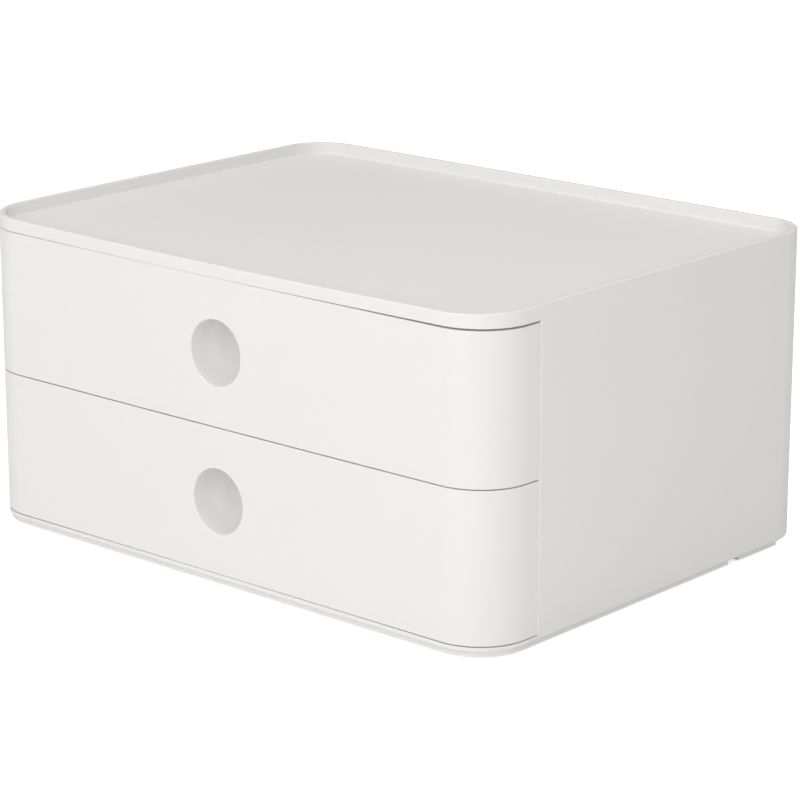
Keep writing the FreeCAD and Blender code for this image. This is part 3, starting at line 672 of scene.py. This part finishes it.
def math_node(tree, operation, *values):
    """Adds a math node and gives its output. Each value is a number, or an output that is linked in."""
    node = tree.nodes.new("ShaderNodeMath")
    node.operation = operation
    for socket, value in zip(node.inputs, values):
        if isinstance(value, bpy.types.NodeSocket):
            tree.links.new(value, socket)
        else:
            socket.default_value = value
    return node.outputs[0]


def moulded_group():
    """Node group for moulded plastic. From object coordinates it gives a tone that drifts slowly round 1,
    a roughness that varies with the flow of the plastic, and the height of a fine orange peel."""
    name = "moulded_plastic"
    tree = bpy.data.node_groups.get(name)
    if tree is not None:
        return tree
    tree = bpy.data.node_groups.new(name, "ShaderNodeTree")
    tree.interface.new_socket("Vector", in_out="INPUT", socket_type="NodeSocketVector")
    for label, default in (("Grain Scale", 900.0), ("Flow Scale", 9.0), ("Drift", 0.02),
                           ("Roughness", 0.3), ("Spread", 0.05)):
        socket = tree.interface.new_socket(label, in_out="INPUT", socket_type="NodeSocketFloat")
        socket.default_value = default
    for label in ("Tone", "Roughness", "Height"):
        tree.interface.new_socket(label, in_out="OUTPUT", socket_type="NodeSocketFloat")
    source = tree.nodes.new("NodeGroupInput")
    result = tree.nodes.new("NodeGroupOutput")
    link = tree.links.new
    flow = add_node(tree, "ShaderNodeTexNoise", Detail=3.0, Roughness=0.55, Distortion=0.6)
    grain = add_node(tree, "ShaderNodeTexNoise", Detail=2.0, Roughness=0.5)
    speck = add_node(tree, "ShaderNodeTexNoise", Detail=1.0, Roughness=0.4)
    scale = source.outputs["Grain Scale"]
    for noise, size in ((flow, source.outputs["Flow Scale"]), (grain, scale),
                        (speck, math_node(tree, "MULTIPLY", scale, 3.1))):
        link(source.outputs["Vector"], noise.inputs["Vector"])
        link(size, noise.inputs["Scale"])
    centred = math_node(tree, "SUBTRACT", flow.outputs["Fac"], 0.5)
    for label, values in (("Tone", (centred, source.outputs["Drift"], 1.0)),
                          ("Roughness", (centred, source.outputs["Spread"], source.outputs["Roughness"])),
                          ("Height", (speck.outputs["Fac"], 0.35, grain.outputs["Fac"]))):
        link(math_node(tree, "MULTIPLY_ADD", *values), result.inputs[label])
    return tree


def plastic(name, base, roughness, spread, grain_scale, grain_depth, drift=0.02, specular=0.5,
            plate_roughness=None):
    """Moulded plastic: the group's tone multiplies the colour, its height feeds a bump. With a plate
    roughness, the floor of the raised-rim tray on top is less shiny than the rest."""
    material = bpy.data.materials.new(name)
    material.use_nodes = True
    tree = material.node_tree
    link = tree.links.new
    shader = tree.nodes["Principled BSDF"]
    shader.inputs["IOR"].default_value = 1.5
    shader.inputs["Specular IOR Level"].default_value = specular
    place = tree.nodes.new("ShaderNodeTexCoord")
    moulded = add_node(tree, "ShaderNodeGroup", {"node_tree": moulded_group()})
    for socket, value in (("Grain Scale", grain_scale), ("Drift", drift), ("Roughness", roughness),
                          ("Spread", spread)):
        moulded.inputs[socket].default_value = value
    link(place.outputs["Object"], moulded.inputs["Vector"])
    tint = add_node(tree, "ShaderNodeVectorMath", {"operation": "SCALE"})
    tint.inputs[0].default_value = base
    link(moulded.outputs["Tone"], tint.inputs["Scale"])
    link(tint.outputs[0], shader.inputs["Base Color"])
    bump = add_node(tree, "ShaderNodeBump", Distance=grain_depth, Strength=1.0)
    link(moulded.outputs["Height"], bump.inputs["Height"])
    link(bump.outputs["Normal"], shader.inputs["Normal"])
    rough = moulded.outputs["Roughness"]
    if plate_roughness is not None:
        split = tree.nodes.new("ShaderNodeSeparateXYZ")
        link(place.outputs["Object"], split.inputs[0])
        plate = math_node(tree, "GREATER_THAN", split.outputs[2], PLATE_LEVEL)
        for axis, limit in enumerate(PLATE_LIMITS):
            within = tree.nodes.new("ShaderNodeMapRange")
            within.inputs["From Min"].default_value = limit
            within.inputs["From Max"].default_value = limit - PLATE_FADE
            link(math_node(tree, "ABSOLUTE", split.outputs[axis]), within.inputs["Value"])
            plate = math_node(tree, "MULTIPLY", plate, within.outputs[0])
        rough = math_node(tree, "MULTIPLY_ADD", plate, plate_roughness - roughness, rough)
    link(rough, shader.inputs["Roughness"])
    return material


def finish_of(slot):
    """The material for one of the record's slots, made on first use."""
    colours = bpy.context.scene.file_box_finish
    if slot in bpy.data.materials and "file_box" in bpy.data.materials[slot]:
        return bpy.data.materials[slot]
    recipes = {
        "gloss_white_shell": dict(base=colours.shell, roughness=0.30, spread=0.06, grain_scale=700.0,
                                  grain_depth=0.000004, plate_roughness=0.50, specular=0.25),
        "matte_white_inside": dict(base=colours.inside, roughness=0.48, spread=0.08, grain_scale=2600.0,
                                   grain_depth=0.00002),
        "runner_plastic": dict(base=colours.runner, roughness=0.38, spread=0.10, grain_scale=1200.0,
                               grain_depth=0.00001, drift=0.05),
        "stop_plastic": dict(base=colours.stop, roughness=0.42, spread=0.08, grain_scale=1500.0,
                             grain_depth=0.00001, drift=0.04),
        "grey_rubber": dict(base=colours.rubber, roughness=0.80, spread=0.15, grain_scale=3200.0,
                            grain_depth=0.00004, drift=0.12, specular=0.3),
    }
    stale = bpy.data.materials.get(slot)
    if stale is not None:
        stale.name = slot + "_packed"
    material = plastic(slot, **recipes[slot])
    material["file_box"] = True
    return material


# ---------------- operators
class FILEBOX_OT_studio(bpy.types.Operator):
    """Pale floor, soft light and the camera"""

    bl_idname = "file_box.studio"
    bl_label = "Studio"

    def execute(self, context):
        studio = context.scene.file_box_studio
        scene = context.scene
        near, floor_radius, light_distance = 0.6, 9.0, 1.6
        radius = np.concatenate([np.linspace(0, near, 7), np.geomspace(0.8, floor_radius, 12)])
        points, faces = lathe(np.stack([radius, np.zeros_like(radius)], -1), (0, 0, 0), 2, 96)
        mesh = bpy.data.meshes.new("floor")
        mesh.from_pydata(points.reshape(-1, 3).tolist(), [], faces.tolist())
        floor = bpy.data.objects.new("floor", mesh)
        scene.collection.objects.link(floor)
        material = bpy.data.materials.new("studio_floor")
        material.use_nodes = True
        tree = material.node_tree
        shader = tree.nodes["Principled BSDF"]
        shader.inputs["Roughness"].default_value = 0.9
        shader.inputs["Specular IOR Level"].default_value = 0.1
        shader.inputs["Base Color"].default_value = (*context.scene.file_box_finish.floor, 1)
        shader.inputs["Emission Color"].default_value = (1, 1, 1, 1)
        seen = tree.nodes.new("ShaderNodeLightPath")
        glow = math_node(tree, "MULTIPLY", seen.outputs["Is Camera Ray"], studio.floor_glow)
        tree.links.new(glow, shader.inputs["Emission Strength"])
        mesh.materials.append(material)

        world = bpy.data.worlds.new("soft_studio")
        scene.world = world
        world.use_nodes = True
        sky = world.node_tree.nodes["Background"]
        sky.inputs["Color"].default_value = (1, 1, 1, 1)
        sky.inputs["Strength"].default_value = studio.sky

        aim = Vector((0.0, 0.0, 0.06))
        for name, power, azimuth, elevation, size in (
                ("right_light", studio.right_power, radians(46), radians(25), 1.2),
                ("left_light", studio.left_power, radians(-30), radians(25), 1.2),
                ("rear_light", studio.rear_power, radians(170), radians(40), 1.2),
                ("top_light", studio.top_power, 0.0, radians(80), 1.6)):
            light = bpy.data.lights.new(name, "AREA")
            light.shape, light.size, light.energy = "DISK", size, power
            lamp = bpy.data.objects.new(name, light)
            level = np.cos(elevation)
            arm = light_distance * Vector((np.sin(azimuth) * level, -np.cos(azimuth) * level,
                                           np.sin(elevation)))
            lamp.location = aim + arm
            lamp.rotation_euler = (-arm).to_track_quat("-Z", "Y").to_euler()
            scene.collection.objects.link(lamp)

        lens = bpy.data.cameras.new("camera")
        lens.lens, lens.sensor_width = studio.lens, 36.0
        camera = bpy.data.objects.new("camera", lens)
        camera.location = studio.camera_place
        back = Vector(studio.camera_place) - Vector(studio.camera_target)
        camera.rotation_euler = (-back).to_track_quat("-Z", "Y").to_euler()
        scene.collection.objects.link(camera)
        scene.camera = camera
        scene.view_settings.view_transform = "Standard"
        return {"FINISHED"}


class FILEBOX_OT_plastics(bpy.types.Operator):
    """Gives each carried-over piece the finish of its own slot"""

    bl_idname = "file_box.plastics"
    bl_label = "Plastics and rubber"

    def execute(self, context):
        for part in frame["record"]["subparts"]:
            node = frame["nodes"][part["node"]]
            for holder in node.material_slots:
                holder.material = finish_of(part["material_slot"])
        return {"FINISHED"}


class FILEBOX_OT_housing(bpy.types.Operator):
    """The housing: top tray with its rim, walls, header, floor ring and runner seats"""

    bl_idname = "file_box.housing"
    bl_label = "Housing"

    def execute(self, context):
        sizes = context.scene.file_box_sizes
        low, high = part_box("housing_shell")
        header = high[2] - sizes.header_height
        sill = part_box("lower_drawer_front")[0][2] - SILL_GAP
        wall_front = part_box("upper_drawer_front")[1][1] + sizes.side_gap
        shells = housing_shells(low, high, header, sill, wall_front, sizes)
        shells.append(runner_seat_parts(high[0], sizes))
        make_piece("housing_moulding", shells, "housing", "gloss_white_shell", ["housing_shell"])
        return {"FINISHED"}


class FILEBOX_OT_drawer_fronts(bpy.types.Operator):
    """The two drawer fronts with their finger cups, ribs and catches"""

    bl_idname = "file_box.drawer_fronts"
    bl_label = "Drawer fronts"

    def execute(self, context):
        sizes = context.scene.file_box_sizes
        for level in LEVELS:
            low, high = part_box(f"{level}_drawer_front")
            tray_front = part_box(f"{level}_drawer_tray")[0][1]
            middle = (low[2] + high[2]) / 2
            header = CAD_BOX[1][2] - sizes.header_height
            skin = bowed(front_parts(low, high, sizes), level, low, high, header, sizes)
            shells = [skin, rib_parts(middle, low[1], tray_front, sizes)]
            make_piece(f"{level}_front_moulding", shells, f"{level}_drawer", "gloss_white_shell",
                       [f"{level}_drawer_front"])
        return {"FINISHED"}


class FILEBOX_OT_drawer_trays(bpy.types.Operator):
    """The two drawer trays with their flanges and the marks of the mould"""

    bl_idname = "file_box.drawer_trays"
    bl_label = "Drawer trays"

    def execute(self, context):
        sizes = context.scene.file_box_sizes
        for level in LEVELS:
            low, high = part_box(f"{level}_drawer_tray")
            half_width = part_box(f"{level}_right_runner")[0][0] - TRAY_SIDE_GAP
            shells = [tray_parts(low, high, half_width, sizes),
                      running_gear_parts(level, low, high, half_width, sizes)]
            make_piece(f"{level}_tray_moulding", shells, f"{level}_drawer", "matte_white_inside",
                       [f"{level}_drawer_tray"])
            make_piece(f"{level}_tray_pin_marks", [pin_mark_parts(low, high, sizes)],
                       f"{level}_drawer", "matte_white_inside")
        return {"FINISHED"}


class FILEBOX_OT_rubber(bpy.types.Operator):
    """The four grooved feet and the four crowned buffers"""

    bl_idname = "file_box.rubber"
    bl_label = "Feet and buffers"

    def execute(self, context):
        buffers = [f"{level}_{side}_buffer" for level in LEVELS for side in SIDES]
        for nodes, profile, axis in ((FOOT_NODES, foot_profile, 2), (buffers, buffer_profile, 1)):
            for node in nodes:
                low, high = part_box(node)
                part = lathe(profile(low, high), (low + high) / 2, axis, 64)
                make_piece(f"{node}_pad", [[part]], "housing", "grey_rubber", [node])
        return {"FINISHED"}


class FILEBOX_OT_base_ribs(bpy.types.Operator):
    """The stiffening ribs under the base plate"""

    bl_idname = "file_box.base_ribs"
    bl_label = "Base ribs"

    def execute(self, context):
        make_piece("base_plate_ribs", [base_rib_parts(*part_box("base_plate"))], "housing",
                   "matte_white_inside")
        return {"FINISHED"}


class FILEBOX_PT_panel(bpy.types.Panel):
    """Lists the sizes, the colours and what builds each group of pieces"""

    bl_label = "File Box"
    bl_idname = "FILEBOX_PT_panel"
    bl_space_type = "VIEW_3D"
    bl_region_type = "UI"
    bl_category = "File Box"

    def draw(self, context):
        for group in (context.scene.file_box_sizes, context.scene.file_box_finish,
                      context.scene.file_box_studio):
            box = self.layout.box()
            for name in group.__annotations__:
                box.prop(group, name)
        for operator in OPERATORS:
            self.layout.operator(operator.bl_idname)


OPERATORS = (FILEBOX_OT_studio, FILEBOX_OT_plastics, FILEBOX_OT_housing, FILEBOX_OT_drawer_fronts,
             FILEBOX_OT_drawer_trays, FILEBOX_OT_rubber, FILEBOX_OT_base_ribs)
GROUPS = {"file_box_sizes": FileBoxSizes, "file_box_finish": FileBoxFinish,
          "file_box_studio": FileBoxStudio}


def register():
    """Adds the classes and hangs the settings on the scene."""
    for item in (*GROUPS.values(), *OPERATORS, FILEBOX_PT_panel):
        bpy.utils.register_class(item)
    for name, group in GROUPS.items():
        setattr(bpy.types.Scene, name, PointerProperty(type=group))


def unregister():
    """Takes the settings and the classes away again."""
    for name in GROUPS:
        delattr(bpy.types.Scene, name)
    for item in reversed((*GROUPS.values(), *OPERATORS, FILEBOX_PT_panel)):
        bpy.utils.unregister_class(item)


def main():
    """Builds everything in order."""
    register()
    bpy.ops.file_box.studio()
    bpy.ops.file_box.plastics()
    bpy.ops.file_box.housing()
    bpy.ops.file_box.drawer_fronts()
    bpy.ops.file_box.drawer_trays()
    bpy.ops.file_box.rubber()
    bpy.ops.file_box.base_ribs()


if __name__ == "__main__":
    main()
